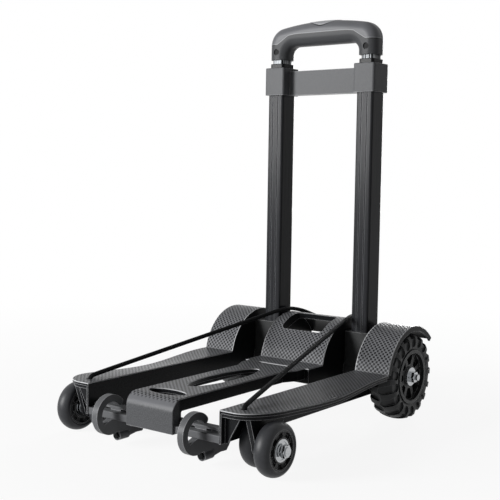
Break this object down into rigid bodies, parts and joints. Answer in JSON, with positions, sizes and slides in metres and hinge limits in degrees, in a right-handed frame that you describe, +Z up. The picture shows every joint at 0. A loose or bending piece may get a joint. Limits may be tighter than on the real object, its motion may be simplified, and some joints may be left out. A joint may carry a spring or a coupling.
{
  "type": "folding hand truck",
  "caption": "Folding hand truck: wheeled slotted foot plate with cord hooks and an elastic cord, and a telescoping twin-tube handle that folds down onto it.",
  "frame": {"origin": "on the floor under the middle of the bounding box, midway between the hooks' front and the rear tyres' back, on the plane of symmetry", "axes": "+X to the right seen from behind the cart, along the wheel axles; +Y to the rear, from foot plate tip to handle; +Z up"},
  "size_m": [0.3326, 0.424, 0.5255],
  "materials": {
    "black_plastic": "satin moulded, fine raised diamonds on the top faces",
    "bracket_plastic": "matte moulded",
    "grip_grey": "smooth satin gloss",
    "grip_black": "matte moulded",
    "black_aluminium": "black anodised, satin",
    "plated_steel": "bright plated",
    "hidden_steel": "plain",
    "tread_rubber": "matte black rubber",
    "wheel_rubber": "smooth dark grey rubber",
    "hub_plastic": "moulded",
    "cord_fabric": "braided sleeve over elastic",
    "guide_plastic": "plain moulded"
  },
  "bodies": {
    "base": {"right_wing": "black_plastic", "left_wing": "black_plastic", "centre_hump": "black_plastic", "centre_panel": "black_plastic", "front_crossbar": "black_plastic", "right_cord_hook": "black_plastic", "left_cord_hook": "black_plastic", "hook_screws": "plated_steel", "elastic_cord": "cord_fabric", "cord_knots": "cord_fabric", "rear_axle": "plated_steel", "axle_washers": "plated_steel", "axle_nuts": "plated_steel", "outer_front_bolts": "plated_steel", "inner_front_bolts": "plated_steel", "front_spacers": "plated_steel"},
    "right_rear_wheel": {"right_rear_tyre": "tread_rubber", "right_rear_hub": "hub_plastic", "right_rear_bushes": "guide_plastic"},
    "left_rear_wheel": {"left_rear_tyre": "tread_rubber", "left_rear_hub": "hub_plastic", "left_rear_bushes": "guide_plastic"},
    "right_outer_front_wheel": {"right_outer_front_tyre": "wheel_rubber", "right_outer_front_hub": "hub_plastic", "right_outer_front_bearings": "plated_steel"},
    "left_outer_front_wheel": {"left_outer_front_tyre": "wheel_rubber", "left_outer_front_hub": "hub_plastic", "left_outer_front_bearings": "plated_steel"},
    "right_inner_front_wheel": {"right_inner_front_tyre": "wheel_rubber", "right_inner_front_hub": "hub_plastic", "right_inner_front_bearings": "plated_steel"},
    "left_inner_front_wheel": {"left_inner_front_tyre": "wheel_rubber", "left_inner_front_hub": "hub_plastic", "left_inner_front_bearings": "plated_steel"},
    "handle": {"right_handle_socket": "black_plastic", "left_handle_socket": "black_plastic", "right_outer_tube": "black_aluminium", "left_outer_tube": "black_aluminium", "top_bracket": "bracket_plastic", "bracket_screws": "plated_steel"},
    "middle_stage": {"right_middle_tube": "black_aluminium", "left_middle_tube": "black_aluminium", "right_middle_collar": "bracket_plastic", "left_middle_collar": "bracket_plastic", "right_middle_plug": "guide_plastic", "left_middle_plug": "guide_plastic"},
    "grip": {"right_inner_tube": "black_aluminium", "left_inner_tube": "black_aluminium", "right_inner_plug": "guide_plastic", "left_inner_plug": "guide_plastic", "grip_upper_shell": "grip_grey", "grip_lower_shell": "grip_black", "grip_screws": "plated_steel", "button_spring": "hidden_steel"},
    "release": {"release_button": "grip_grey", "push_bar": "guide_plastic", "release_rods": "hidden_steel"}
  },
  "joints": [
    {"name": "right_rear_wheel_spin", "type": "hinge", "parent": "base", "child": "right_rear_wheel", "pos_m": [0.127, 0.155, 0.057], "axis": [1, 0, 0], "continuous": true},
    {"name": "left_rear_wheel_spin", "type": "hinge", "parent": "base", "child": "left_rear_wheel", "pos_m": [-0.127, 0.155, 0.057], "axis": [1, 0, 0], "continuous": true},
    {"name": "right_outer_front_wheel_spin", "type": "hinge", "parent": "base", "child": "right_outer_front_wheel", "pos_m": [0.1495, -0.157, 0.03], "axis": [1, 0, 0], "continuous": true},
    {"name": "left_outer_front_wheel_spin", "type": "hinge", "parent": "base", "child": "left_outer_front_wheel", "pos_m": [-0.1495, -0.157, 0.03], "axis": [1, 0, 0], "continuous": true},
    {"name": "right_inner_front_wheel_spin", "type": "hinge", "parent": "base", "child": "right_inner_front_wheel", "pos_m": [0.1155, -0.1375, 0.03], "axis": [1, 0, 0], "continuous": true},
    {"name": "left_inner_front_wheel_spin", "type": "hinge", "parent": "base", "child": "left_inner_front_wheel", "pos_m": [-0.1155, -0.1375, 0.03], "axis": [1, 0, 0], "continuous": true},
    {"name": "handle_fold", "type": "hinge", "parent": "base", "child": "handle", "pos_m": [0, 0.155, 0.057], "axis": [1, 0, 0], "range_deg": [0, 85], "deforming": ["elastic_cord"]},
    {"name": "middle_slide", "type": "slide", "parent": "handle", "child": "middle_stage", "axis": [0, 0, 1], "range_m": [0, 0.25]},
    {"name": "grip_slide", "type": "slide", "parent": "middle_stage", "child": "grip", "axis": [0, 0, 1], "range_m": [0, 0.25]},
    {"name": "button_press", "type": "slide", "parent": "grip", "child": "release", "axis": [0, 0, -1], "range_m": [0, 0.003], "stiffness_N_per_m": 600, "springref_m": -0.004, "deforming": ["button_spring"]}
  ]
}
